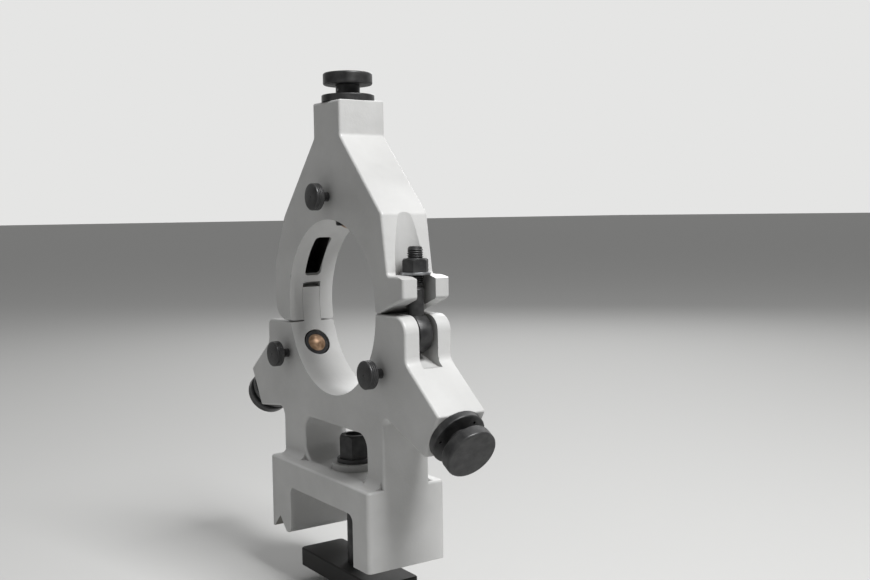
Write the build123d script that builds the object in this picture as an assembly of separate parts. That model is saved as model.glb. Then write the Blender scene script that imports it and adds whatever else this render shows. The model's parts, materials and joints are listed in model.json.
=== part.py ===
from build123d import *
import math
import os

# Fixed steady rest for a metal lathe, in millimetres.
# X runs across the bed, Y along the spindle, Z up.
# The origin is on the seat of the feet, below the spindle axis.

# Ring and castings
centre_height = 207.0
opening_radius = 75.0
casting_thickness = 44.0
boss_end_radius = 174.0
boss_half_width = 19.5
boss_root_half_width = 27.5
boss_root_radius = 118.0
neck_half_width = 22.8
neck_height = 29.5
top_ring_wall = 38.0
ring_floor = 26.0
edge_round = 2.2
corner_round = 4.0
boss_end_round = 1.5
boss_blend = 9.0
web_blend = 5.0
ring_shoulder_angle = 43.0
core_angle = 145.0
core_window_length = 43.0
core_window_width = 16.0
core_window_round = 3.5
core_lip = 5.0
core_skin = 4.5
core_depth = 20.0

# Web, deck and feet
base_depth = 74.0
base_left = 91.7
base_right = 82.6
deck_height = 65.8
deck_thickness = 23.0
arch_left = 53.0
arch_right = 58.0
arch_round = 7.0
window_left = 51.6
window_right = 57.0
window_round = 13.0
deck_fillet = 7.0
pad_diameter = 40.0
pad_height = 5.5
vee_depth = 12.0
vee_inset = 17.7
foot_heel_round = 6.0
deck_overlap = 8.0
web_shoulder_drop = 4.0
web_left_rise = 6.0
fork_round = 13.0

# Hinge
hinge_reach = 87.0
hinge_radius = 17.0
hinge_pin_diameter = 12.0
hinge_slot = 17.8
hinge_side_gap = 0.25
hinge_seat_gap = 1.3
hinge_pin_skin = 5.0
shoulder_reach = 121.0
shoulder_side = 22.0
shoulder_round = 6.0
pin_screw_diameter = 6.0

tongue_relief = 1.5
tongue_top = 13.0

# Swing bolt and clamp lug
bolt_reach = 100.0
bolt_diameter = 12.7
bolt_above_nut = 9.5
eye_drop = 15.0
eye_diameter = 30.0
eye_thickness = 12.0
eye_pin_diameter = 12.0
eye_pin_gap = 0.4
eye_pin_stub = 10.0
lug_slot = 17.5
lug_height = 31.0
lug_lip = 18.0
lug_underside_run = 36.0
lug_reach = 115.0
fork_reach = 117.0
lug_seat_gap = 0.2
nut_recess_radius = 15.7
fork_floor_drop = 40.0
fork_floor_rise = 10.5
fork_inner_reach = 82.5
nut_flats = 19.0
nut_height = 10.8
washer_diameter = 24.0
washer_thickness = 2.0
washer_play = 0.3
nut_turn = 18.0

# Jaws
jaw_angles = {"top": 90.0, "left": 210.0, "right": 330.0}
quill_diameter = 25.0
quill_length = 86.0
quill_inset = 0.5
quill_bore_depth = 68.0
jaw_travel = 56.0
jaw_advance = {"top": 6.0, "left": 0.0, "right": 0.0}
tip_diameter = 16.5
tip_shank_diameter = 9.0
tip_shank_length = 11.0
tip_dome = 3.0
screw_diameter = 10.0
screw_tip_radius = 97.0
screw_collar_diameter = 22.0
screw_collar_thickness = 4.0
cap_diameter = 45.0
cap_thickness = 6.0
cap_screw_circle = 34.0
cap_screw_diameter = 4.0
cap_screw_length = 16.0
cap_screw_count = 3
knob_diameter = 42.0
knob_thickness = 10.2
knob_neck_diameter = 20.6
knob_neck_height = 8.3
knob_pin_diameter = 3.0
end_play = 0.05
screw_into_knob = 6.0

# Jaw locks
lock_radius = 94.0
lock_screw_diameter = 8.0
lock_pad_diameter = 6.0
lock_pad_length = 4.0
lock_travel = 2.5
lock_knob_diameter = 23.0
lock_knob_thickness = 8.0
lock_knob_standoff = 8.0
groove_depth = 2.0
groove_margin = 1.5
groove_side_gap = 0.4

# Bed clamp
bed_bolt_diameter = 16.0
bed_nut_flats = 24.0
bed_nut_turn = 20.0
bed_nut_height = 20.0
bed_collar_diameter = 31.0
bed_collar_thickness = 4.0
bed_hole_clearance = 1.0
bed_bolt_recess = 3.0
plate_length = 130.0
plate_width = 44.0
plate_thickness = 16.0
plate_drop = 18.0
bolt_head_flats = 24.0
bolt_head_height = 10.0
bed_clamp_travel = 10.0

# Fits
running = 0.05
thread_gap = 0.06

# Places worked out from the sizes above
half_thickness = casting_thickness / 2
hinge = (-hinge_reach, centre_height)
seat_level = centre_height + lug_height
eye_level = centre_height - eye_drop
neck_top = centre_height + boss_end_radius
shoulder_level = centre_height - hinge_radius - hinge_seat_gap
window_top = centre_height - opening_radius - ring_floor
arch_top = deck_height - deck_thickness
quill_inner_radius = opening_radius + quill_inset
quill_outer_radius = quill_inner_radius + quill_length
collar_outer_radius = boss_end_radius - end_play
cap_outer_radius = boss_end_radius + cap_thickness
neck_outer_radius = cap_outer_radius + end_play + knob_neck_height
pad_top = deck_height + pad_height
tongue_width = hinge_slot - 2 * hinge_side_gap
cap_screw_depth = cap_screw_length - cap_thickness
lock_pad_seat = quill_diameter / 2 - groove_depth + running
lock_pad_end = lock_pad_seat + lock_pad_length
lock_thread_end = lock_pad_end - running
lock_knob_back = half_thickness + lock_knob_standoff


def slab(points, thickness):
    """A plate of the given outline in the XZ plane, centred on Y = 0."""
    face = make_face(Plane.XZ * Polyline(*points, close=True))
    return extrude(face, amount=thickness / 2, both=True)


def across(radius, length, x, z, y=0.0):
    """A cylinder along Y."""
    return Pos(x, y, z) * Rot(90, 0, 0) * Cylinder(radius, length)


def radial(angle):
    """The plane whose Z runs outwards along a jaw axis and whose X is world +Y."""
    outward = (math.cos(math.radians(angle)), 0, math.sin(math.radians(angle)))
    return Plane(origin=(0, 0, centre_height), x_dir=(0, 1, 0), z_dir=outward)


def rod(radius, start, end):
    """A cylinder along local Z from start to end."""
    return Pos(0, 0, start) * Cylinder(radius, end - start, align=(Align.CENTER, Align.CENTER, Align.MIN))


def hexagon(flats, height):
    """A hexagonal prism standing on local Z = 0, with its corners bevelled at the top."""
    prism = extrude(RegularPolygon(flats / math.sqrt(3), 6), amount=height)
    crown = Cone(flats * 0.5 + height, flats * 0.48, height, align=(Align.CENTER, Align.CENTER, Align.MIN))
    return prism & crown


def jaw_point(angle, radius, side):
    """A point in the XZ plane, radius out along a jaw axis and side to its left."""
    turn = math.radians(angle)
    x = radius * math.cos(turn) - side * math.sin(turn)
    z = centre_height + radius * math.sin(turn) + side * math.cos(turn)
    return (x, z)


def outline(corners, thickness):
    """A plate in the XZ plane from corners given as (x, z, rounding), with its rims rounded."""
    points = [(x, z) for x, z, rounding in corners]
    roundings = [rounding for x, z, rounding in corners]
    path = FilletPolyline(*points, radius=roundings, close=True)
    plate = extrude(make_face(Plane.XZ * path), amount=thickness / 2, both=True)
    rims = plate.edges().filter_by_position(Axis.Y, -thickness / 2, -thickness / 2)
    rims += plate.edges().filter_by_position(Axis.Y, thickness / 2, thickness / 2)
    return fillet(rims, edge_round)


def block(x_range, y_range, z_range):
    """A box between two limits on each axis."""
    size = [high - low for low, high in (x_range, y_range, z_range)]
    middle = [(high + low) / 2 for low, high in (x_range, y_range, z_range)]
    return Pos(*middle) * Box(*size)


def both_sides(inner, outer):
    """The two Y ranges from inner to outer, in front of the middle plane and behind it."""
    return [(-outer, -inner), (inner, outer)]


def jaw_cuts(angle):
    """The quill bore, cap screw holes and lock screw hole of one jaw boss."""
    plane = radial(angle)
    bore = plane * rod(quill_diameter / 2 + running, opening_radius / 2, boss_end_radius + 1)
    for screw in cap_screw_places():
        hole = screw * rod(cap_screw_diameter / 2, boss_end_radius - cap_screw_depth, boss_end_radius + 1)
        bore += plane * hole
    x, z = jaw_point(angle, lock_radius, 0)
    pad_hole_length = half_thickness
    bore += across(lock_pad_diameter / 2 + running, pad_hole_length, x, z, -pad_hole_length / 2)
    thread_length = half_thickness + 1 - lock_thread_end
    bore += across(lock_screw_diameter / 2 + thread_gap, thread_length, x, z, -lock_thread_end - thread_length / 2)
    return bore


def cap_screw_places():
    """Turns about the jaw axis that put each cap screw in its place."""
    step = 360 / cap_screw_count
    turns = [Rot(0, 0, step * (index + 0.5)) for index in range(cap_screw_count)]
    return [turn * Pos(cap_screw_circle / 2, 0, 0) for turn in turns]


def make_base_casting():
    boss_right = [jaw_point(jaw_angles["right"], boss_root_radius, boss_root_half_width)]
    boss_right.append(jaw_point(jaw_angles["right"], boss_end_radius, boss_half_width))
    boss_right.append(jaw_point(jaw_angles["right"], boss_end_radius, -boss_half_width))
    boss_right.append(jaw_point(jaw_angles["right"], boss_root_radius, -boss_root_half_width))
    boss_left = [jaw_point(jaw_angles["left"], boss_end_radius, boss_half_width)]
    boss_left.append(jaw_point(jaw_angles["left"], boss_end_radius, -boss_half_width))
    inside = opening_radius * 0.6
    corners = [
        (-shoulder_reach, shoulder_level, shoulder_round),
        (-inside, shoulder_level, 1),
        (inside, centre_height, 1),
        (fork_reach, centre_height, fork_round),
        (fork_reach, boss_right[0][1], boss_blend),
        (*boss_right[1], boss_end_round),
        (*boss_right[2], boss_end_round),
        (*boss_right[3], web_blend),
        (base_right, boss_right[3][1] - web_shoulder_drop, web_blend),
        (base_right, deck_height - deck_overlap, 1),
        (-base_left, deck_height - deck_overlap, 1),
        (-base_left, boss_left[0][1] + web_left_rise, boss_blend),
        (*boss_left[0], boss_end_round),
        (*boss_left[1], boss_end_round),
        (-shoulder_reach, shoulder_level - shoulder_side, boss_blend),
    ]
    web = outline(corners, casting_thickness)
    window = block((-window_left, window_right), (-base_depth, base_depth), (deck_height, window_top))
    window = fillet(window.edges().filter_by(Axis.Y), window_round)
    web -= window
    window_rims = [edge for edge in web.edges() if is_rim(edge, deck_height, window_top)]
    web = fillet(window_rims, edge_round)

    foot_box = block((-base_left, base_right), (-base_depth / 2, base_depth / 2), (0, deck_height))
    foot_box = fillet(foot_box.edges().filter_by(Axis.Z), corner_round)
    foot_box = fillet(foot_box.edges().filter_by_position(Axis.Z, deck_height, deck_height), edge_round)
    arch = block((-arch_left, arch_right), (-base_depth, base_depth), (-deck_height, arch_top))
    arch = fillet(arch.edges().filter_by(Axis.Y), arch_round)
    casting = web + (foot_box - arch)

    for y_range in both_sides(half_thickness, half_thickness + deck_fillet):
        side = 1 if y_range[0] > 0 else -1
        scoop_y = side * (half_thickness + deck_fillet)
        for x_range in ((-base_left + corner_round, -window_left), (window_right, base_right - corner_round)):
            cove = block(x_range, y_range, (deck_height - 1, deck_height + deck_fillet))
            middle = (x_range[0] + x_range[1]) / 2
            scoop = Pos(middle, scoop_y, deck_height + deck_fillet) * Rot(0, 90, 0)
            casting += cove - scoop * Cylinder(deck_fillet, base_left)
    casting += Pos(0, 0, deck_height) * rod(pad_diameter / 2, -1, pad_height)

    tongue_radius = hinge_radius - tongue_relief
    tongue = across(tongue_radius, tongue_width, *hinge)
    tongue_sides = (-tongue_width / 2, tongue_width / 2)
    tongue_inner = -opening_radius * 0.85
    tongue += block((hinge[0] - tongue_radius, tongue_inner), tongue_sides, (shoulder_level - 1, hinge[1]))
    tongue += block((hinge[0], tongue_inner), tongue_sides, (hinge[1] - 1, hinge[1] + tongue_top))
    casting += tongue
    casting -= across(hinge_pin_diameter / 2 + running, base_depth, *hinge)

    casting -= across(opening_radius, base_depth + 2, 0, centre_height)
    fork_floor = centre_height - fork_floor_drop
    slot_corners = [(fork_inner_reach, centre_height + 1), (fork_inner_reach, fork_floor + fork_floor_rise)]
    slot_corners += [(fork_reach, fork_floor), (boss_end_radius, fork_floor), (boss_end_radius, centre_height + 1)]
    casting -= slab(slot_corners, lug_slot)
    pin_hole = eye_pin_diameter / 2
    casting -= across(pin_hole, half_thickness + lug_slot / 2 + eye_pin_stub, bolt_reach, eye_level,
                      (half_thickness - lug_slot / 2 - eye_pin_stub) / 2)

    vee_x = -base_left + vee_inset
    vee = slab([(vee_x - vee_depth, 0), (vee_x, vee_depth), (vee_x + vee_depth, 0), (vee_x, -vee_depth)],
               base_depth + 2)
    casting -= vee
    casting -= rod(bed_bolt_diameter / 2 + bed_hole_clearance, arch_top - 1, pad_top + 1)
    heel = casting.edges().filter_by(Axis.Y).filter_by_position(Axis.Z, -0.1, 0.1)
    heel = min(heel, key=lambda edge: abs(edge.center().X + arch_left))
    casting = fillet(heel, foot_heel_round)
    casting -= jaw_cuts(jaw_angles["left"])
    casting -= jaw_cuts(jaw_angles["right"])
    return casting


def is_rim(edge, low, high):
    """Whether an edge lies round the window on either face of the web."""
    centre = edge.center()
    on_face = abs(abs(centre.Y) - half_thickness) < 0.01
    inside = -window_left - 0.1 < centre.X < window_right + 0.1
    return on_face and inside and low - 0.1 < centre.Z < high + 0.1


def ring_point(angle, wall):
    """A point of the ring's outer side, wall outside the opening."""
    reach = opening_radius + wall
    return (reach * math.cos(math.radians(angle)), centre_height + reach * math.sin(math.radians(angle)))


def make_top_casting():
    neck_foot = neck_top - neck_height
    inside = opening_radius * 0.6
    corners = [
        (inside, centre_height, 1),
        (lug_reach - lug_underside_run, centre_height, 3),
        (lug_reach, seat_level - lug_lip, 3),
        (lug_reach, seat_level, 2),
        (opening_radius + lug_lip, seat_level, 3),
        (*ring_point(ring_shoulder_angle, top_ring_wall + 3.5), 6),
        (neck_half_width, neck_foot, 5),
        (neck_half_width, neck_top, 1),
        (-neck_half_width, neck_top, 1),
        (-neck_half_width, neck_foot, 5),
        (*ring_point(180 - ring_shoulder_angle, top_ring_wall + 1), 30),
        (*ring_point(162, top_ring_wall - 4), 20),
        (hinge[0] - hinge_radius + 0.5, centre_height + hinge_radius * 0.6, 4),
        (hinge[0] - hinge_radius + 0.5, centre_height - 0.5, 1),
        (hinge[0], centre_height - 0.5, 1),
        (hinge[0], centre_height - hinge_radius, 1),
        (-inside, centre_height - hinge_radius, 1),
    ]
    casting = outline(corners, casting_thickness)
    knuckle = across(hinge_radius, casting_thickness, *hinge)
    casting += fillet(knuckle.edges().filter_by(GeomType.CIRCLE), edge_round)
    casting -= across(opening_radius, base_depth + 2, 0, centre_height)
    casting -= block((opening_radius * 0.5, lug_reach * 2), (-base_depth, base_depth),
                     (centre_height - 2, centre_height))

    slot_sides = (-hinge_slot / 2, hinge_slot / 2)
    slot_top = hinge[1] + hinge_radius + 0.8
    casting -= block((-shoulder_reach * 2, -opening_radius * 0.8), slot_sides, (shoulder_level, slot_top))
    blind_end = -half_thickness + hinge_pin_skin
    pin_length = half_thickness - blind_end
    casting -= across(hinge_pin_diameter / 2, pin_length, *hinge, (half_thickness + blind_end) / 2)
    screw_y = (half_thickness + hinge_slot / 2) / 2
    screw_hole = Pos(hinge[0], screw_y, hinge[1]) * Rot(0, -90, 0)
    casting -= screw_hole * rod(pin_screw_diameter / 2, 0, hinge_radius + 2)

    casting -= Pos(bolt_reach, 0, 0) * rod(lug_slot / 2, centre_height - 1, seat_level + 1)
    casting -= block((bolt_reach, lug_reach * 2), (-lug_slot / 2, lug_slot / 2), (centre_height - 1, seat_level + 1))
    casting -= Pos(bolt_reach, 0, 0) * rod(nut_recess_radius, seat_level, neck_top)
    crown = block((bolt_reach, lug_reach + 1), (-base_depth, base_depth), (eye_level + 30, seat_level + 1))
    casting -= crown - across(seat_level - eye_level, base_depth * 3, bolt_reach, eye_level)

    casting -= make_core()
    casting -= jaw_cuts(jaw_angles["top"])
    return casting


def make_core():
    """The cored pocket in the ring, with a smaller window through its skin."""
    plane = radial(core_angle)
    window_face = RectangleRounded(core_window_width, core_window_length, core_window_round)
    window = extrude(Pos(0, 0, opening_radius / 2) * window_face, amount=opening_radius / 2 + core_skin + 1)
    pocket_face = RectangleRounded(core_window_width + 2 * core_lip, core_window_length + 2 * core_lip, core_lip)
    pocket = extrude(Pos(0, 0, opening_radius + core_skin) * pocket_face, amount=core_depth)
    return plane * (window + pocket)


def make_hinge_pin():
    front = -half_thickness + hinge_pin_skin
    back = half_thickness - edge_round
    pin = across(hinge_pin_diameter / 2, back - front, *hinge, (back + front) / 2)
    return chamfer(pin.edges().filter_by(GeomType.CIRCLE), 0.6)


def make_hinge_pin_screw():
    screw_y = (half_thickness + hinge_slot / 2) / 2
    length = hinge_radius - hinge_pin_diameter / 2 - 1
    screw = Pos(hinge[0] - hinge_pin_diameter / 2, screw_y, hinge[1]) * Rot(0, -90, 0)
    socket = Pos(0, 0, length - 3) * extrude(RegularPolygon(1.7, 6), amount=4)
    return screw * (rod(pin_screw_diameter / 2, 0.4, length) - socket)


def make_eye_bolt():
    top = seat_level + lug_seat_gap + washer_thickness + nut_height + bolt_above_nut
    eye = across(eye_diameter / 2, eye_thickness, bolt_reach, eye_level)
    eye = fillet(eye.edges().filter_by(GeomType.CIRCLE), 1.5)
    shank = Pos(bolt_reach, 0, 0) * rod(bolt_diameter / 2, eye_level, top)
    shank = chamfer(shank.edges().sort_by(Axis.Z)[-1], 1.2)
    return eye + shank - across(eye_pin_diameter / 2, eye_thickness * 2, bolt_reach, eye_level)


def make_eye_pin():
    length = lug_slot - 2 * eye_pin_gap
    return across(eye_pin_diameter / 2, length, bolt_reach, eye_level)


def make_eye_pin_ends():
    inner = lug_slot / 2 + running
    front = across(eye_pin_diameter / 2, eye_pin_stub - running, bolt_reach, eye_level,
                   -(inner + lug_slot / 2 + eye_pin_stub) / 2)
    outer = half_thickness - 1
    back = across(eye_pin_diameter / 2, outer - inner, bolt_reach, eye_level, (inner + outer) / 2)
    return Compound(children=[front, back])


def make_clamp_washer():
    bottom = seat_level + lug_seat_gap
    washer = Pos(bolt_reach, 0, bottom) * rod(washer_diameter / 2, 0, washer_thickness)
    washer = chamfer(washer.edges().filter_by(GeomType.CIRCLE), 0.3)
    return washer - Pos(bolt_reach, 0, bottom) * rod(bolt_diameter / 2 + washer_play, -1, washer_thickness + 1)


def make_clamp_nut():
    bottom = seat_level + lug_seat_gap + washer_thickness
    nut = hexagon(nut_flats, nut_height) - rod(bolt_diameter / 2 + thread_gap, -1, nut_height + 1)
    return Pos(bolt_reach, 0, bottom) * Rot(0, 0, nut_turn) * nut


def make_quill(angle, advance):
    quill = rod(quill_diameter / 2, quill_inner_radius, quill_outer_radius)
    quill = chamfer(quill.edges().sort_by(Axis.Z)[0], 1.0)
    quill = chamfer(quill.edges().sort_by(Axis.Z)[-1], 0.8)
    quill -= rod(screw_diameter / 2 + thread_gap, quill_outer_radius - quill_bore_depth, quill_outer_radius + 1)
    quill -= rod(tip_shank_diameter / 2, quill_inner_radius - 1, quill_inner_radius + tip_shank_length)
    half_groove = lock_pad_diameter / 2 + groove_side_gap
    groove_start = lock_radius - lock_pad_diameter / 2 - groove_margin
    groove_end = lock_radius + jaw_travel + lock_pad_diameter / 2 + groove_margin
    groove_floor = quill_diameter / 2 - groove_depth
    quill -= block((-quill_diameter, -groove_floor), (-half_groove, half_groove), (groove_start, groove_end))
    return radial(angle) * Pos(0, 0, -advance) * quill


def make_tip(angle, advance):
    dome_radius = (tip_diameter ** 2 / 4 + tip_dome ** 2) / (2 * tip_dome)
    dome = Pos(0, 0, quill_inner_radius - tip_dome + dome_radius) * Sphere(dome_radius)
    head = dome & rod(tip_diameter / 2, quill_inner_radius - tip_dome - 1, quill_inner_radius)
    shank = rod(tip_shank_diameter / 2, quill_inner_radius - 0.5, quill_inner_radius + tip_shank_length - 0.5)
    return radial(angle) * Pos(0, 0, -advance) * (head + shank)


def make_adjusting_screw(angle):
    screw = rod(screw_diameter / 2, screw_tip_radius, neck_outer_radius + screw_into_knob)
    screw = chamfer(screw.edges().filter_by(GeomType.CIRCLE), 0.8)
    screw += rod(screw_collar_diameter / 2, collar_outer_radius - screw_collar_thickness, collar_outer_radius)
    return radial(angle) * (screw - knob_pin_hole())


def knob_pin_hole():
    middle = cap_outer_radius + end_play + knob_neck_height / 2
    return Pos(0, 0, middle) * Rot(0, 90, 0) * Cylinder(knob_pin_diameter / 2, knob_neck_diameter * 2)


def make_knob(angle):
    base = cap_outer_radius + end_play
    neck = rod(knob_neck_diameter / 2, base, neck_outer_radius + 1)
    wheel = rod(knob_diameter / 2, neck_outer_radius, neck_outer_radius + knob_thickness)
    wheel = fillet(wheel.edges().filter_by(GeomType.CIRCLE), 1.8)
    bore = rod(screw_diameter / 2, base - 1, neck_outer_radius + screw_into_knob)
    return radial(angle) * (neck + wheel - bore - knob_pin_hole())


def make_knob_pin(angle):
    middle = cap_outer_radius + end_play + knob_neck_height / 2
    pin = Pos(0, 0, middle) * Rot(0, 90, 0) * Cylinder(knob_pin_diameter / 2, knob_neck_diameter - 1)
    return radial(angle) * pin


def make_cap(angle):
    cap = rod(cap_diameter / 2, boss_end_radius, cap_outer_radius)
    cap = fillet(cap.edges().sort_by(Axis.Z)[-1], 1.0)
    cap -= rod(screw_diameter / 2 + running, boss_end_radius - 1, cap_outer_radius + 1)
    for place in cap_screw_places():
        cap -= place * cap_screw(running)
    return radial(angle) * cap


def cap_screw(gap=0.0):
    """A countersunk screw on the jaw axis, or with a gap the hole that it goes through."""
    radius = cap_screw_diameter / 2
    head_start = cap_outer_radius - cap_screw_diameter * 0.6
    shank = rod(radius + gap, cap_outer_radius - cap_screw_length, head_start + 0.1)
    head = Pos(0, 0, head_start) * Cone(radius + gap, radius * 2 + gap, cap_screw_diameter * 0.6,
                                       align=(Align.CENTER, Align.CENTER, Align.MIN))
    return shank + head


def make_cap_screws(angle):
    socket = Pos(0, 0, cap_outer_radius - 1.6) * extrude(RegularPolygon(1.45, 6), amount=3)
    screws = [radial(angle) * place * (cap_screw() - socket) for place in cap_screw_places()]
    return Compound(children=screws)


def make_lock_pad(angle):
    x, z = jaw_point(angle, lock_radius, 0)
    return across(lock_pad_diameter / 2, lock_pad_length, x, z, -(lock_pad_seat + lock_pad_end) / 2)


def make_lock_screw(angle):
    x, z = jaw_point(angle, lock_radius, 0)
    stem_length = lock_knob_back + 1 - lock_pad_end
    stem = across(lock_screw_diameter / 2, stem_length, x, z, -lock_pad_end - stem_length / 2)
    disc = across(lock_knob_diameter / 2, lock_knob_thickness, x, z, -lock_knob_back - lock_knob_thickness / 2)
    return stem + fillet(disc.edges().filter_by(GeomType.CIRCLE), 1.4)


def make_bed_nut():
    nut = rod(bed_collar_diameter / 2, 0, bed_collar_thickness)
    nut = fillet(nut.edges().filter_by(GeomType.CIRCLE).sort_by(Axis.Z)[-1], 1.0)
    nut += Pos(0, 0, bed_collar_thickness - 0.5) * Rot(0, 0, bed_nut_turn) * hexagon(bed_nut_flats, bed_nut_height + 0.5)
    nut -= rod(bed_bolt_diameter / 2 + thread_gap, -1, bed_nut_height * 2)
    return Pos(0, 0, pad_top) * nut


def make_bed_bolt():
    bolt_top = pad_top + bed_collar_thickness + bed_nut_height - bed_bolt_recess
    head_top = -plate_drop - plate_thickness
    bolt = rod(bed_bolt_diameter / 2, head_top - 1, bolt_top)
    bolt = chamfer(bolt.edges().sort_by(Axis.Z)[-1], 1.5)
    head = Pos(0, 0, head_top) * Rot(180, 0, 0) * hexagon(bolt_head_flats, bolt_head_height)
    return bolt + head


def make_clamp_plate():
    top = -plate_drop
    plate = block((-plate_length / 2, plate_length / 2), (-plate_width / 2, plate_width / 2),
                  (top - plate_thickness, top))
    plate = fillet(plate.edges().filter_by(Axis.Z), 4)
    plate = chamfer(plate.edges().filter_by_position(Axis.Z, top, top), 1.0)
    return plate - rod(bed_bolt_diameter / 2 + running, top - plate_thickness - 1, top + 1)


def make_all():
    """Every piece by name."""
    pieces = {}
    pieces["base_casting"] = make_base_casting()
    pieces["top_casting"] = make_top_casting()
    pieces["hinge_pin"] = make_hinge_pin()
    pieces["hinge_pin_screw"] = make_hinge_pin_screw()
    pieces["eye_bolt"] = make_eye_bolt()
    pieces["eye_pin"] = make_eye_pin()
    pieces["eye_pin_ends"] = make_eye_pin_ends()
    pieces["clamp_washer"] = make_clamp_washer()
    pieces["clamp_nut"] = make_clamp_nut()
    pieces["bed_nut"] = make_bed_nut()
    pieces["bed_bolt"] = make_bed_bolt()
    pieces["clamp_plate"] = make_clamp_plate()
    for jaw, angle in jaw_angles.items():
        pieces["quill_" + jaw] = make_quill(angle, jaw_advance[jaw])
        pieces["bronze_tip_" + jaw] = make_tip(angle, jaw_advance[jaw])
        pieces["adjusting_screw_" + jaw] = make_adjusting_screw(angle)
        pieces["knob_" + jaw] = make_knob(angle)
        pieces["knob_pin_" + jaw] = make_knob_pin(angle)
        pieces["bearing_cap_" + jaw] = make_cap(angle)
        pieces["cap_screws_" + jaw] = make_cap_screws(angle)
        pieces["lock_pad_" + jaw] = make_lock_pad(angle)
        pieces["lock_screw_" + jaw] = make_lock_screw(angle)
    return pieces


os.makedirs("parts", exist_ok=True)
for name, piece in make_all().items():
    export_step(piece, "parts/" + name + ".step")
    print(name, round(piece.volume), "cubic millimetres")
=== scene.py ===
import json
import math
import bmesh
import bpy
from mathutils import Matrix, Vector


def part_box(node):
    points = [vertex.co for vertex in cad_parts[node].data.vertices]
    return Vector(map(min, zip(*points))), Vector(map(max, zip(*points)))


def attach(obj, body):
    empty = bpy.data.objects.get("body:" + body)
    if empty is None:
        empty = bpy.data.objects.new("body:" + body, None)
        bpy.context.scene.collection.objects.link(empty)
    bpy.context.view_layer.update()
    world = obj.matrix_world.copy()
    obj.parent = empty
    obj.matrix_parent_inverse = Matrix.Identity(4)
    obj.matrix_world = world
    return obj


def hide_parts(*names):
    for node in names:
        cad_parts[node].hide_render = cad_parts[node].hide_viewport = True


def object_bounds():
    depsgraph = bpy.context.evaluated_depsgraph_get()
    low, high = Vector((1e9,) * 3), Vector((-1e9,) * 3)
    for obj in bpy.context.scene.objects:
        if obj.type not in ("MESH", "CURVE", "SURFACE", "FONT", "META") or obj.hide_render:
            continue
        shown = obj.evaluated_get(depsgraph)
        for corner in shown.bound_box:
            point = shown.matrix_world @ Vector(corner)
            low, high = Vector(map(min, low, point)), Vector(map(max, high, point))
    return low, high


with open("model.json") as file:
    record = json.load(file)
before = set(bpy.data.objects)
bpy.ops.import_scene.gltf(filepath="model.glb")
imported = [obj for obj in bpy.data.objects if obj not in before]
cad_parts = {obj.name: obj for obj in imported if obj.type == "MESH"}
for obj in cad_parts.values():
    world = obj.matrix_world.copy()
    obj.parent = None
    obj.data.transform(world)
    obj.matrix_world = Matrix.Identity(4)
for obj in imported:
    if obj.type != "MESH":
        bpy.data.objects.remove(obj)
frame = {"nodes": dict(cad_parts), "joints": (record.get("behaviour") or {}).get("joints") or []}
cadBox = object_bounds()
mm = 0.001
nodes = frame["nodes"]
joints = {joint["name"]: joint for joint in frame["joints"]}
print("frame loaded:", len(nodes), "nodes")

jawNames = ["top", "left", "right"]
spindleCentre = Vector(joints["top_open"]["pos_m"])  # the hinge is level with the spindle
spindleCentre.x = 0.0
alongSpindle = Matrix.Rotation(math.pi / 2, 4, "X")  # turns local Z to the front, along the spindle


def jointSpot(name):
    return Matrix.Translation(Vector(joints[name]["pos_m"]))


def outMatrix(angle):
    # local Z runs outwards from the spindle at that angle, local X along the spindle
    out = Vector((math.cos(math.radians(angle)), 0, math.sin(math.radians(angle))))
    along = Vector((0, 1, 0))
    turn = Matrix((along, out.cross(along), out)).transposed().to_4x4()
    return Matrix.Translation(spindleCentre) @ turn


def jawMatrix(jaw):
    axis = joints["knob_turn_" + jaw]["axis"]
    return outMatrix(math.degrees(math.atan2(axis[2], axis[0])))


def addObject(name, data):
    item = bpy.data.objects.new(name, data)
    bpy.context.scene.collection.objects.link(item)
    return item


def linearColor(hexText):
    parts = [int(hexText[i:i + 2], 16) / 255 for i in (1, 3, 5)]
    return [p / 12.92 if p <= 0.04045 else ((p + 0.055) / 1.055) ** 2.4 for p in parts] + [1.0]


def addNode(tree, kind, inputs=None, **settings):
    node = tree.nodes.new(kind)
    for name, value in settings.items():
        setattr(node, name, value)
    for key, value in (inputs or {}).items():
        if isinstance(value, bpy.types.NodeSocket):
            tree.links.new(value, node.inputs[key])
        else:
            node.inputs[key].default_value = value
    return node


def newMaterial(name, values):
    material = bpy.data.materials.new(name)
    material.use_nodes = True
    tree = material.node_tree
    tree.nodes.clear()
    shader = addNode(tree, "ShaderNodeBsdfPrincipled", values)
    addNode(tree, "ShaderNodeOutputMaterial", {"Surface": shader.outputs["BSDF"]})
    place = addNode(tree, "ShaderNodeTexCoord").outputs["Object"]
    return material, tree, shader, place


def seenFrom(spot):
    # what a Mapping node needs to read a pattern along the axes of spot
    turn = spot.inverted()
    return {"Location": turn.to_translation(), "Rotation": turn.to_euler()}


def cloudedFinish(tree, shader, place, look):
    # colour and gloss wander together over soft patches; gives back the colour
    cloud = addNode(tree, "ShaderNodeTexNoise", {
        "Vector": place, "Scale": 1 / (look["cloud"] * mm), "Detail": look["cloudDetail"],
        "Roughness": look["cloudRoughness"]}).outputs["Fac"]
    gloss = addNode(tree, "ShaderNodeMapRange", {
        "Value": cloud, "To Min": look["roughness"] - look["glossier"],
        "To Max": look["roughness"] + look["duller"]})
    tree.links.new(gloss.outputs["Result"], shader.inputs["Roughness"])
    ramp = addNode(tree, "ShaderNodeValToRGB", {"Fac": cloud})
    stops = ((0.3, look["dark"]), (0.7, look["light"]))
    for element, (position, color) in zip(ramp.color_ramp.elements, stops):
        element.position = position
        element.color = linearColor(color)
    return ramp.outputs["Color"]


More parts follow.
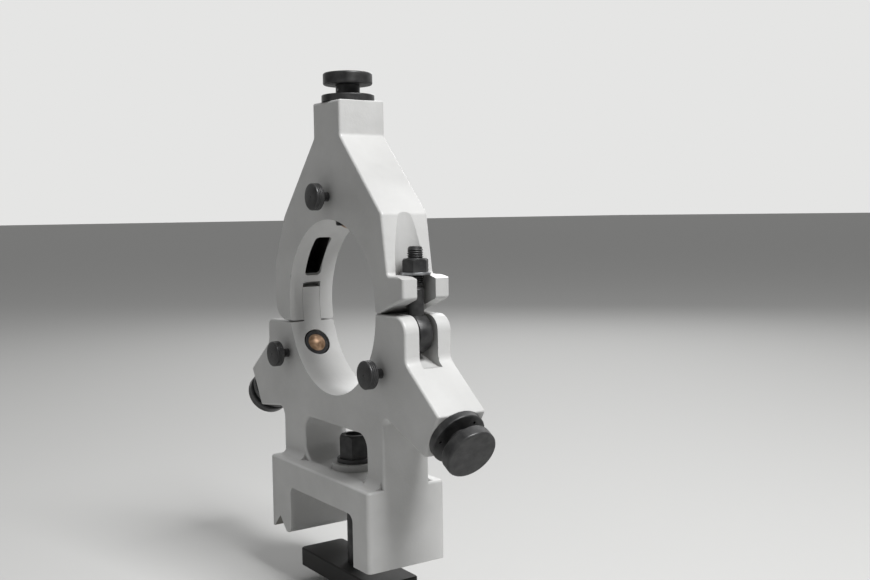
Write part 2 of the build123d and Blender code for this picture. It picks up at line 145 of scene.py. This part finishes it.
# Grey iron casting, filled and sprayed with a two-pack machine enamel. The paint is flat and even,
# with a fine orange peel over the slight unevenness of the sand-cast skin. Sizes are millimetres.
# wornTurn is how far the rounded normal leans at an edge, as a cosine, where wear starts and is full.
# The corner keys set painted shade: corners are darkened by ambient occlusion, by at most the corner
# share.
enamel = {"light": "#bebebd", "dark": "#adadac", "cloud": 70.0, "cloudDetail": 4.0,
          "cloudRoughness": 0.55, "roughness": 0.42, "glossier": 0.06, "duller": 0.08,
          "coat": 0.12, "coatRoughness": 0.3, "iron": "#56544f",
          "edgeRadius": 1.1, "wornTurn": (0.985, 0.93), "patch": 3.846, "wornPatch": (0.62, 0.7),
          "cornerReach": 9.0, "cornerLight": (0.35, 0.85), "paintedCornerShade": 0.4,
          "skin": 9.0, "skinHeight": 0.6, "skinStrength": 0.6,
          "peel": 1.5, "peelHeight": 0.14, "peelStrength": 0.5}
# Bare faces of the same castings: the scraped seat that sits on the bed. The near black in the cored
# pocket is painted shade, for the dark deep inside it.
bareIronAndPocketShade = {"core": "#141312", "seat": "#77756f"}
pocketShadeBox = {"angle": 145.0, "low": (-15, -28, 75.6), "high": (15, 28, 101)}
seatBox = {"low": (-200, -36.9, -1), "high": (200, 36.9, 0.2)}
veeBox = {"low": (-86.2, -36.9, -1), "high": (-61.8, 36.9, 12.2)}


def insideBox(tree, place, box):
    # 1 inside a box given in millimetres, 0 outside it
    parts = addNode(tree, "ShaderNodeSeparateXYZ", {"Vector": place})
    found = None
    for axis in range(3):
        low, high = box["low"][axis] * mm, box["high"][axis] * mm
        near = addNode(tree, "ShaderNodeMath", {
            0: parts.outputs[axis], 1: (low + high) / 2, 2: (high - low) / 2},
            operation="COMPARE").outputs["Value"]
        if found is not None:
            near = addNode(tree, "ShaderNodeMath", {0: found, 1: near},
                           operation="MULTIPLY").outputs["Value"]
        found = near
    return found


def makeEnamel():
    material, tree, shader, place = newMaterial("machineEnamelOnCastIron", {
        "IOR": 1.5, "Coat Weight": enamel["coat"], "Coat Roughness": enamel["coatRoughness"]})
    color = cloudedFinish(tree, shader, place, enamel)
    # paint rubs thin on the sharpest edges, in broken patches
    rounded = addNode(tree, "ShaderNodeBevel", {"Radius": enamel["edgeRadius"] * mm}, samples=4)
    flat = addNode(tree, "ShaderNodeNewGeometry").outputs["Normal"]
    turn = addNode(tree, "ShaderNodeVectorMath", {0: rounded.outputs["Normal"], 1: flat},
                   operation="DOT_PRODUCT")
    patch = addNode(tree, "ShaderNodeTexNoise", {
        "Vector": place, "Scale": 1 / (enamel["patch"] * mm), "Detail": 5.0})
    edge = addNode(tree, "ShaderNodeMapRange", {
        "Value": turn.outputs["Value"], "From Min": enamel["wornTurn"][0],
        "From Max": enamel["wornTurn"][1]})
    worn = addNode(tree, "ShaderNodeMapRange", {
        "Value": patch.outputs["Fac"], "From Min": enamel["wornPatch"][0],
        "From Max": enamel["wornPatch"][1]})
    rubbed = addNode(tree, "ShaderNodeMath", {0: edge.outputs["Result"], 1: worn.outputs["Result"]},
                     operation="MULTIPLY")
    # painted shade: the enamel darkens toward the iron colour in corners, as far as the ambient
    # occlusion finds other faces close by
    corner = addNode(tree, "ShaderNodeAmbientOcclusion", {"Distance": enamel["cornerReach"] * mm},
                     samples=8)
    paintedCornerShade = addNode(tree, "ShaderNodeMapRange", {
        "Value": corner.outputs["AO"], "From Min": enamel["cornerLight"][0],
        "From Max": enamel["cornerLight"][1], "To Min": enamel["paintedCornerShade"], "To Max": 0.0})
    pocketShadePlace = addNode(tree, "ShaderNodeMapping", {
        "Vector": place, **seenFrom(outMatrix(pocketShadeBox["angle"]))}).outputs["Vector"]
    layers = [
        (rubbed.outputs["Value"], enamel["iron"]),
        # painted shade in the corners
        (paintedCornerShade.outputs["Result"], enamel["iron"]),
        # painted shade: the cored pocket laid near black
        (insideBox(tree, pocketShadePlace, pocketShadeBox), bareIronAndPocketShade["core"]),
        (insideBox(tree, place, seatBox), bareIronAndPocketShade["seat"]),
        (insideBox(tree, place, veeBox), bareIronAndPocketShade["seat"]),
    ]
    for share, layerColor in layers:
        color = addNode(tree, "ShaderNodeMix", {
            "Factor": share, "A": color, "B": linearColor(layerColor)},
            data_type="RGBA").outputs["Result"]
    tree.links.new(color, shader.inputs["Base Color"])
    skin = addNode(tree, "ShaderNodeTexNoise", {
        "Vector": place, "Scale": 1 / (enamel["skin"] * mm), "Detail": 3.0})
    peel = addNode(tree, "ShaderNodeTexNoise", {
        "Vector": place, "Scale": 1 / (enamel["peel"] * mm), "Detail": 2.0})
    waves = addNode(tree, "ShaderNodeBump", {
        "Height": skin.outputs["Fac"], "Strength": enamel["skinStrength"],
        "Distance": enamel["skinHeight"] * mm})
    fine = addNode(tree, "ShaderNodeBump", {
        "Height": peel.outputs["Fac"], "Strength": enamel["peelStrength"],
        "Distance": enamel["peelHeight"] * mm, "Normal": waves.outputs["Normal"]})
    tree.links.new(fine.outputs["Normal"], shader.inputs["Normal"])
    return material


# What every metal finish here shares. Tool marks are drawn coarser than real ones, which would be
# too fine to show.
metalFinish = {"cloudDetail": 5.0, "cloudRoughness": 0.5, "glossier": 0.07, "duller": 0.1,
               "wander": 0.6, "markHeight": 0.04}
waveSpan = 0.31  # metres between the lines of a wave texture at scale 1


def makeTurnedMetal(name, metal, spot=None):
    # rings about local Z of spot, as a lathe tool leaves them
    look = {**metalFinish, **metal}
    material, tree, shader, place = newMaterial(name, {"Metallic": look["metallic"]})
    if spot is not None:
        place = addNode(tree, "ShaderNodeMapping", {"Vector": place, **seenFrom(spot)}).outputs["Vector"]
    color = cloudedFinish(tree, shader, place, look)
    tree.links.new(color, shader.inputs["Base Color"])
    marks = []
    for kind in ({"wave_type": "RINGS", "rings_direction": "Z"},
                 {"wave_type": "BANDS", "bands_direction": "Z"}):
        wave = addNode(tree, "ShaderNodeTexWave", {
            "Vector": place, "Scale": waveSpan / (look["ring"] * mm), "Distortion": look["wander"],
            "Detail": 2.0}, **kind)
        marks.append(wave.outputs["Fac"])
    total = addNode(tree, "ShaderNodeMath", {0: marks[0], 1: marks[1]}, operation="ADD")
    bump = addNode(tree, "ShaderNodeBump", {
        "Height": total.outputs["Value"], "Strength": look["marks"],
        "Distance": look["markHeight"] * mm})
    tree.links.new(bump.outputs["Normal"], shader.inputs["Normal"])
    return material


# Turned steel blacked in hot oxide salts and oiled: nearly black, a soft sheen, faint tool rings.
blackOxide = {"metallic": 0.45, "dark": "#2a2a2b", "light": "#434343", "cloud": 7.0,
              "roughness": 0.4, "ring": 0.55, "marks": 0.6}
# Ground and oiled tool steel: bright, cool grey, very fine marks.
groundSteel = {"metallic": 1.0, "dark": "#77787a", "light": "#9a9b9d", "cloud": 16.0,
               "roughness": 0.26, "ring": 0.3, "marks": 0.15}
# Quills hardened and oil blacked, with the fine marks of the grinder showing through.
hardenedSteel = {"metallic": 0.8, "dark": "#161616", "light": "#2a2a2b", "cloud": 10.0,
                 "roughness": 0.3, "ring": 0.3, "marks": 0.2}
# Turned bearing bronze: warm brown gold, darker where oil has stained it.
bearingBronze = {"metallic": 0.55, "dark": "#7d5f45", "light": "#c8a688", "cloud": 4.0,
                 "roughness": 0.42, "ring": 0.4, "marks": 0.3}
# Zinc plated steel washer: bright and slightly blue.
zincPlate = {"metallic": 1.0, "dark": "#8f9194", "light": "#b4b6b8", "cloud": 8.0,
             "roughness": 0.3, "ring": 0.4, "marks": 0.2}
# Flame cut steel plate painted black: dull, rough.
plateSteel = {"metallic": 0.2, "dark": "#191919", "light": "#272625", "cloud": 9.0,
              "roughness": 0.62, "ring": 0.9, "marks": 0.2}


def dress(material, *nodeNames):
    for name in nodeNames:
        nodes[name].data.materials.clear()
        nodes[name].data.materials.append(material)


threadMesh = {"stepsPerTurn": 40, "ridgeSides": 4}


def makeThreadTree():
    # one screw ridge wound round local Z from the origin up, joined to the turned blank
    tree = bpy.data.node_groups.new("screwThread", "GeometryNodeTree")
    for name, kind in (("Blank", "Geometry"), ("Radius", "Float"), ("Pitch", "Float"),
                       ("Turns", "Float"), ("Finish", "Material")):
        tree.interface.new_socket(name=name, in_out="INPUT", socket_type="NodeSocket" + kind)
    tree.interface.new_socket(name="Geometry", in_out="OUTPUT", socket_type="NodeSocketGeometry")
    given = addNode(tree, "NodeGroupInput").outputs
    half = addNode(tree, "ShaderNodeMath", {0: given["Pitch"], 1: 0.5},
                   operation="MULTIPLY").outputs["Value"]
    line = addNode(tree, "ShaderNodeMath", {0: given["Radius"], 1: half},
                   operation="SUBTRACT").outputs["Value"]
    rise = addNode(tree, "ShaderNodeMath", {0: given["Pitch"], 1: given["Turns"]},
                   operation="MULTIPLY").outputs["Value"]
    spiral = addNode(tree, "GeometryNodeCurveSpiral", {
        "Resolution": threadMesh["stepsPerTurn"], "Rotations": given["Turns"],
        "Start Radius": line, "End Radius": line, "Height": rise})
    upright = addNode(tree, "GeometryNodeSetCurveNormal", {"Curve": spiral.outputs["Curve"]},
                      mode="Z_UP")
    ridge = addNode(tree, "GeometryNodeCurvePrimitiveCircle", {
        "Resolution": threadMesh["ridgeSides"], "Radius": half})
    wound = addNode(tree, "GeometryNodeCurveToMesh", {
        "Curve": upright.outputs["Curve"], "Profile Curve": ridge.outputs["Curve"], "Fill Caps": True})
    crisp = addNode(tree, "GeometryNodeSetShadeSmooth", {
        "Geometry": wound.outputs["Mesh"], "Shade Smooth": False})
    joined = addNode(tree, "GeometryNodeJoinGeometry")
    tree.links.new(crisp.outputs["Geometry"], joined.inputs["Geometry"])
    tree.links.new(given["Blank"], joined.inputs["Geometry"])
    whole = addNode(tree, "GeometryNodeRealizeInstances", {"Geometry": joined.outputs["Geometry"]})
    finish = addNode(tree, "GeometryNodeSetMaterial", {
        "Geometry": whole.outputs["Geometry"], "Material": given["Finish"]})
    addNode(tree, "NodeGroupOutput", {"Geometry": finish.outputs["Geometry"]})
    return tree


threadTree = makeThreadTree()


def turnedSolid(work, profile, spot=Matrix(), closed=False, corners=64):
    # turns (radius, height) pairs in millimetres about local Z of spot, into an open bmesh: a closed
    # profile makes a ring, an open one a solid with flat ends
    rings = []
    for radius, height in profile:
        ring = []
        for step in range(corners):
            turn = 2 * math.pi * step / corners
            point = Vector((radius * math.cos(turn), radius * math.sin(turn), height)) * mm
            ring.append(work.verts.new(spot @ point))
        rings.append(ring)
    for lower, upper in zip(rings, rings[1:] + rings[:1] if closed else rings[1:]):
        for step in range(corners):
            after = (step + 1) % corners
            work.faces.new((lower[step], lower[after], upper[after], upper[step]))
    if not closed:
        work.faces.new(list(reversed(rings[0])))
        work.faces.new(rings[-1])


sharpAngle = 32  # degrees between faces past which a turned edge stays crisp


def threadedPiece(name, work, thread, material, spot):
    mesh = bpy.data.meshes.new(name)
    bmesh.ops.recalc_face_normals(work, faces=work.faces)
    work.to_mesh(mesh)
    work.free()
    mesh.shade_smooth()
    mesh.set_sharp_from_angle(angle=math.radians(sharpAngle))
    item = addObject(name, mesh)
    modifier = item.modifiers.new("thread", "NODES")
    modifier.node_group = threadTree
    values = {"Radius": thread["radius"] * mm, "Pitch": thread["pitch"] * mm,
              "Turns": thread["turns"], "Finish": material}
    for socket in threadTree.interface.items_tree:
        if socket.name in values:
            modifier[socket.identifier] = values[socket.name]
    bpy.context.view_layer.update()
    solved = item.evaluated_get(bpy.context.evaluated_depsgraph_get())
    baked = bpy.data.meshes.new_from_object(solved)
    item.modifiers.clear()
    item.data = baked
    baked.transform(spot)
    return item


# Swing bolt: a forged eye on a turned shank. The thread starts below the nut and runs to the top.
eyeBolt = {"eyeRadius": 15, "eyeWidth": 12, "hole": 6, "round": 1.5, "roundStep": 0.4,
           "shank": 6.35, "shankRoot": 8, "threadStart": 36, "runout": 1.2, "threadStop": 1.5,
           "core": 5.5, "pitch": 1.75, "tipChamfer": 0.9}


def makeEyeBolt(material):
    look = eyeBolt
    pinSpot = jointSpot("clamp_swing")
    top = (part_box("eye_bolt")[1][2] - pinSpot.translation.z) / mm
    start, core, chamfer = look["threadStart"], look["core"], look["tipChamfer"]
    shaft = [(look["shank"], look["shankRoot"]), (look["shank"], start - look["runout"]),
             (core, start), (core, top - chamfer), (core - chamfer, top)]
    half, hole, reach = look["eyeWidth"] / 2, look["hole"], look["eyeRadius"]
    corner, step = look["round"], look["roundStep"]
    eye = [(hole, -half), (reach - corner, -half), (reach - step, -half + step),
           (reach, -half + corner), (reach, half - corner), (reach - step, half - step),
           (reach - corner, half), (hole, half)]
    work = bmesh.new()
    turnedSolid(work, [(radius, height - start) for radius, height in shaft])
    turnedSolid(work, eye, Matrix.Translation((0, 0, -start * mm)) @ alongSpindle, closed=True)
    thread = {"radius": look["shank"], "pitch": look["pitch"],
              "turns": (top - look["threadStop"] - start) / look["pitch"]}
    threadSpot = pinSpot @ Matrix.Translation((0, 0, start * mm))
    item = threadedPiece("eyeBolt", work, thread, material, threadSpot)
    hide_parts("eye_bolt")
    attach(item, "swing_bolt")


# M8 lock screw with a turned hand knob, three shallow grooves round its rim for grip.
# The rounds are pairs of shares of the corner radius: in from the rim, and in from the face.
lockScrew = {"core": 3.35, "radius": 4, "pitch": 1.25, "stem": 15.4, "stemChamfer": 0.8,
             "threadStart": 1.2, "threadStop": 0.4, "neck": 0.9, "neckLength": 0.6,
             "disc": 11.5, "width": 8, "corner": 1.4, "backRound": ((1, 0), (0.41, 0.41), (0, 1)),
             "frontRound": ((0, 1), (0.12, 0.5), (0.5, 0.12), (1, 0)),
             "grooves": (0.3, 0.5, 0.7), "grooveDepth": 0.35, "grooveHalf": 0.45,
             "dimple": 1.1, "dimpleFloor": 0.22, "dimpleDepth": 0.6}


def makeLockScrew(jaw, spot, material):
    look = lockScrew
    core, radius, width, corner = look["core"], look["disc"], look["width"], look["corner"]
    profile = [(core - look["stemChamfer"], -look["stem"]),
               (core, -look["stem"] + look["stemChamfer"]),
               (core, -look["neckLength"]), (core + look["neck"], 0)]
    profile += [(radius - rim * corner, face * corner) for rim, face in look["backRound"]]
    for share in look["grooves"]:
        middle = width * share
        profile += [(radius, middle - look["grooveHalf"]), (radius - look["grooveDepth"], middle),
                    (radius, middle + look["grooveHalf"])]
    profile += [(radius - rim * corner, width - face * corner) for rim, face in look["frontRound"]]
    profile += [(look["dimple"], width), (look["dimpleFloor"], width - look["dimpleDepth"])]
    lift = look["stem"] - look["threadStart"]
    work = bmesh.new()
    turnedSolid(work, [(across, height + lift) for across, height in profile])
    thread = {"radius": look["radius"], "pitch": look["pitch"],
              "turns": (lift - look["threadStop"]) / look["pitch"]}
    threadSpot = spot @ Matrix.Translation((0, 0, -lift * mm))
    item = threadedPiece("lockScrew_" + jaw, work, thread, material, threadSpot)
    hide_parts("lock_screw_" + jaw)
    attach(item, "lock_" + jaw)


clampSpot = jointSpot("clamp_nut_turn")
clampBlack = makeTurnedMetal("blackOxideClamp", blackOxide, clampSpot)
bedBlack = makeTurnedMetal("blackOxideBedClamp", blackOxide, jointSpot("bed_nut_turn"))
steelMaterial = makeTurnedMetal("groundSteelPin", groundSteel)
dress(makeEnamel(), "base_casting", "top_casting")
dress(steelMaterial, "hinge_pin", "eye_pin", "eye_pin_ends")
dress(clampBlack, "hinge_pin_screw", "clamp_nut")
dress(makeTurnedMetal("zincPlatedWasher", zincPlate, clampSpot), "clamp_washer")
dress(bedBlack, "bed_nut", "bed_bolt")
dress(makeTurnedMetal("blackPaintedPlate", plateSteel), "clamp_plate")
for jaw in jawNames:
    jawSpot = jawMatrix(jaw)
    black = makeTurnedMetal("blackOxide_" + jaw, blackOxide, jawSpot)
    dress(black, "knob_" + jaw, "bearing_cap_" + jaw, "cap_screws_" + jaw, "adjusting_screw_" + jaw)
    dress(makeTurnedMetal("hardenedQuill_" + jaw, hardenedSteel, jawSpot), "quill_" + jaw)
    bronze = makeTurnedMetal("bearingBronze_" + jaw, bearingBronze, jawSpot)
    dress(bronze, "bronze_tip_" + jaw, "lock_pad_" + jaw)
    dress(steelMaterial, "knob_pin_" + jaw)
    lockSpot = jointSpot("lock_turn_" + jaw) @ alongSpindle
    makeLockScrew(jaw, lockSpot, makeTurnedMetal("blackOxideLock_" + jaw, blackOxide, lockSpot))
makeEyeBolt(clampBlack)
print("materials and threads made")


# Matt painted floor: pale, with no mirror of the object. half is in metres, drop in millimetres.
floorSizes = {"half": 60.0, "color": "#b4b4b3", "roughness": 0.7, "drop": 0.5}


def makeFloor():
    low = cadBox[0][2] - floorSizes["drop"] * mm
    half = floorSizes["half"]
    corners = [(-half, -half, low), (half, -half, low), (half, half, low), (-half, half, low)]
    mesh = bpy.data.meshes.new("floor")
    mesh.from_pydata(corners, [], [(0, 1, 2, 3)])
    finish = {"Base Color": linearColor(floorSizes["color"]), "Roughness": floorSizes["roughness"]}
    mesh.materials.append(newMaterial("paleFloor", finish)[0])
    addObject("floor", mesh)


lamps = [
    {"name": "keyLamp", "at": (1.25, 0.2, 1.95), "size": 0.8, "watts": 70.0},
    {"name": "frontLamp", "at": (0.1, -1.9, 0.8), "size": 1.4, "watts": 2.8},
    {"name": "backLamp", "at": (-1.4, 1.4, 1.4), "size": 1.2, "watts": 16.0},
]
lampTarget = Vector((0, 0, 0.2))


def makeLamps():
    for lamp in lamps:
        light = bpy.data.lights.new(lamp["name"], "AREA")
        light.size = lamp["size"]
        light.energy = lamp["watts"]
        item = addObject(lamp["name"], light)
        item.location = lamp["at"]
        item.rotation_euler = (lampTarget - item.location).to_track_quat("-Z", "Y").to_euler()


# The room is dim on the front right of the object and bright at its back left.
room = {"bright": (-0.82, 0.57, 0.0), "dimTo": 0.2, "fullFrom": 0.8, "dim": 0.15, "full": 0.85,
        "color": "#f6f6f5"}


def makeRoom():
    world = bpy.data.worlds.new("studio")
    world.use_nodes = True
    tree = world.node_tree
    sky = addNode(tree, "ShaderNodeTexCoord").outputs["Generated"]
    facing = addNode(tree, "ShaderNodeVectorMath", {0: sky, 1: room["bright"]},
                     operation="DOT_PRODUCT")
    level = addNode(tree, "ShaderNodeMapRange", {
        "Value": facing.outputs["Value"], "From Min": room["dimTo"], "From Max": room["fullFrom"],
        "To Min": room["dim"], "To Max": room["full"]})
    background = tree.nodes["Background"]
    background.inputs["Color"].default_value = linearColor(room["color"])
    tree.links.new(level.outputs["Result"], background.inputs["Strength"])
    bpy.context.scene.world = world
    bpy.context.scene.view_settings.view_transform = "Standard"


# Angles are degrees, the place is metres, the lens and sensor are millimetres.
view = {"azimuth": 55.39, "elevation": 4.21, "roll": -0.79, "at": (0.77784, -0.44946, 0.28573),
        "lens": 43.04, "sensor": 36.0}


def makeCamera():
    azimuth, elevation, roll = (math.radians(view[key]) for key in ("azimuth", "elevation", "roll"))
    back = Vector((math.sin(azimuth) * math.cos(elevation), -math.cos(azimuth) * math.cos(elevation),
                   math.sin(elevation)))
    right = (-back).cross(Vector((0, 0, 1))).normalized()
    up = right.cross(-back)
    rolledRight = right * math.cos(roll) + up * math.sin(roll)
    rolledUp = up * math.cos(roll) - right * math.sin(roll)
    turn = Matrix((rolledRight, rolledUp, back)).transposed().to_4x4()
    data = bpy.data.cameras.new("camera")
    data.lens = view["lens"]
    data.sensor_width = view["sensor"]
    camera = addObject("camera", data)
    camera.matrix_world = Matrix.Translation(Vector(view["at"])) @ turn
    bpy.context.scene.camera = camera


makeFloor()
makeLamps()
makeRoom()
makeCamera()
print("studio made")
